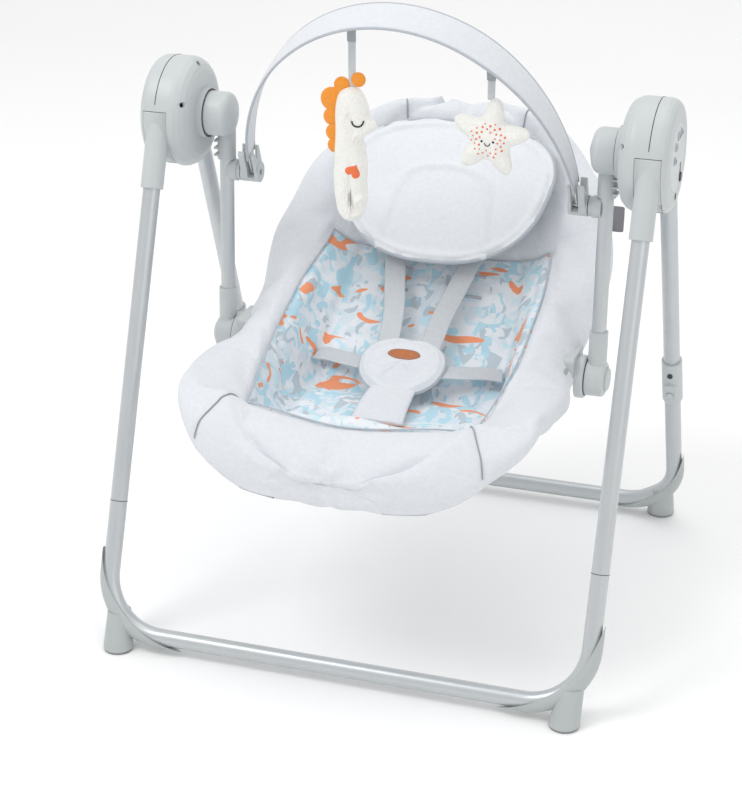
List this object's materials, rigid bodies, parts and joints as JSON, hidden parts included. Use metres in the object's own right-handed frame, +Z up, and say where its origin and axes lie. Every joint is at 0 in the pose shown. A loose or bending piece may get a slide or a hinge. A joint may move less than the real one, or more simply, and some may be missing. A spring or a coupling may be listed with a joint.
{
  "type": "baby swing",
  "caption": "Battery baby swing: padded bucket seat on two arms that swing from hub casings on a folding tube frame, with a tilting arched toy bar and hanging toys.",
  "frame": {"origin": "on the floor, midway between the feet and under the swing axis", "axes": "+Z up, front (where the child faces) along -Y, +X towards the hub with the controls"},
  "size_m": [0.5854, 0.5492, 0.6977],
  "materials": {
    "shell_plastic": "satin",
    "frame_steel": "satin",
    "panel_plastic": "satin",
    "key_plastic": "satin",
    "dark_plastic": "matte",
    "cell_jacket": "satin",
    "board_laminate": "matte",
    "coil_copper": "satin",
    "screw_steel": "satin",
    "dark_screw": "satin",
    "bush_plastic": "satin",
    "foot_rubber": "matte",
    "seat_fabric": "matte",
    "pillow_fabric": "matte",
    "pad_fabric": "matte",
    "patch_leather": "matte",
    "strap_webbing": "matte",
    "tag_fabric": "matte",
    "toy_plush": "matte",
    "ribbon_fabric": "matte"
  },
  "bodies": {
    "rear_frame": {"hub_inner_shell_left": "shell_plastic", "hub_inner_shell_right": "shell_plastic", "hub_outer_shell_left": "shell_plastic", "hub_outer_shell_right": "shell_plastic", "control_panel": "panel_plastic", "dc_jack": "dark_plastic", "battery_cells": "cell_jacket", "circuit_board": "board_laminate", "speaker": "dark_plastic", "drive_coil": "coil_copper", "hub_screws": "screw_steel", "shaft_bushes": "bush_plastic", "rear_legs": "frame_steel", "leg_joints": "shell_plastic", "joint_screws": "dark_screw", "rear_base_tube": "frame_steel", "rear_feet": "shell_plastic", "rear_foot_pads": "foot_rubber"},
    "front_frame": {"front_sockets": "shell_plastic", "front_legs": "frame_steel", "front_base_tube": "frame_steel", "front_feet": "shell_plastic", "front_foot_pads": "foot_rubber"},
    "swing": {"arm_heads": "shell_plastic", "swing_shafts": "screw_steel", "magnet_lever": "dark_plastic", "arm_tubes": "frame_steel", "arm_ends": "shell_plastic", "toy_bar_clips": "shell_plastic", "toy_bar_pins": "screw_steel"},
    "seat": {"seat_brackets": "shell_plastic", "recline_pins": "screw_steel", "seat_tube_front": "frame_steel", "seat_tube_back": "frame_steel", "seat_cover": "seat_fabric", "head_pillow": "pillow_fabric", "buckle_pad": "pad_fabric", "harness_patch": "patch_leather", "shoulder_straps": "strap_webbing", "waist_straps": "strap_webbing", "crotch_strap": "strap_webbing", "care_tag": "tag_fabric"},
    "toy_bar": {"toy_bar_holders": "shell_plastic", "toy_bar_strip": "bush_plastic", "toy_bar_cover": "seat_fabric"},
    "star": {"star_toy": "toy_plush", "star_ribbon": "ribbon_fabric"},
    "seahorse": {"seahorse_toy": "toy_plush", "seahorse_ribbon": "ribbon_fabric"},
    "lock_button_left": {"lock_button_left": "shell_plastic"},
    "lock_button_right": {"lock_button_right": "shell_plastic"},
    "recline_button_left": {"recline_button_left": "shell_plastic"},
    "recline_button_right": {"recline_button_right": "shell_plastic"},
    "power_key": {"power_key": "key_plastic"},
    "timer_key": {"timer_key": "key_plastic"},
    "speed_key": {"speed_key": "key_plastic"},
    "music_key": {"music_key": "key_plastic"},
    "power_switch": {"power_switch": "dark_plastic"},
    "battery_door": {"battery_door": "shell_plastic"}
  },
  "joints": [
    {"name": "frame_fold", "type": "hinge", "parent": "rear_frame", "child": "front_frame", "pos_m": [0, 0, 0.544], "axis": [1, 0, 0], "range_deg": [0, 42]},
    {"name": "seat_swing", "type": "hinge", "parent": "rear_frame", "child": "swing", "pos_m": [0, 0, 0.544], "axis": [1, 0, 0], "range_deg": [-15, 15]},
    {"name": "seat_recline", "type": "hinge", "parent": "swing", "child": "seat", "pos_m": [0, 0.0015, 0.2835], "axis": [1, 0, 0], "range_deg": [-20, 0]},
    {"name": "toy_bar_tilt", "type": "hinge", "parent": "swing", "child": "toy_bar", "pos_m": [0, 0.012, 0.477], "axis": [1, 0, 0], "range_deg": [-15, 50]},
    {"name": "star_swing", "type": "hinge", "parent": "toy_bar", "child": "star", "pos_m": [0.105, -0.0542, 0.6408], "axis": [1, 0, 0], "range_deg": [-25, 25]},
    {"name": "seahorse_swing", "type": "hinge", "parent": "toy_bar", "child": "seahorse", "pos_m": [-0.042, -0.0671, 0.6727], "axis": [1, 0, 0], "range_deg": [-25, 25]},
    {"name": "lock_press_left", "type": "slide", "parent": "rear_frame", "child": "lock_button_left", "axis": [0, 0.9336, 0.3584], "range_m": [0, 0.0025], "stiffness_N_per_m": 600},
    {"name": "lock_press_right", "type": "slide", "parent": "rear_frame", "child": "lock_button_right", "axis": [0, 0.9336, 0.3584], "range_m": [0, 0.0025], "stiffness_N_per_m": 600},
    {"name": "recline_press_right", "type": "slide", "parent": "swing", "child": "recline_button_right", "axis": [-1, 0, 0], "range_m": [0, 0.003], "stiffness_N_per_m": 600},
    {"name": "recline_press_left", "type": "slide", "parent": "swing", "child": "recline_button_left", "axis": [1, 0, 0], "range_m": [0, 0.003], "stiffness_N_per_m": 600},
    {"name": "power_key_press", "type": "slide", "parent": "rear_frame", "child": "power_key", "axis": [-1, 0, 0], "range_m": [0, 0.0012], "stiffness_N_per_m": 500},
    {"name": "timer_key_press", "type": "slide", "parent": "rear_frame", "child": "timer_key", "axis": [-1, 0, 0], "range_m": [0, 0.0012], "stiffness_N_per_m": 500},
    {"name": "speed_key_press", "type": "slide", "parent": "rear_frame", "child": "speed_key", "axis": [-1, 0, 0], "range_m": [0, 0.0012], "stiffness_N_per_m": 500},
    {"name": "music_key_press", "type": "slide", "parent": "rear_frame", "child": "music_key", "axis": [-1, 0, 0], "range_m": [0, 0.0012], "stiffness_N_per_m": 500},
    {"name": "switch_slide", "type": "slide", "parent": "rear_frame", "child": "power_switch", "axis": [0, 0, 1], "range_m": [0, 0.01]},
    {"name": "door_pull", "type": "slide", "parent": "rear_frame", "child": "battery_door", "axis": [-1, 0, 0], "range_m": [0, 0.012]}
  ]
}
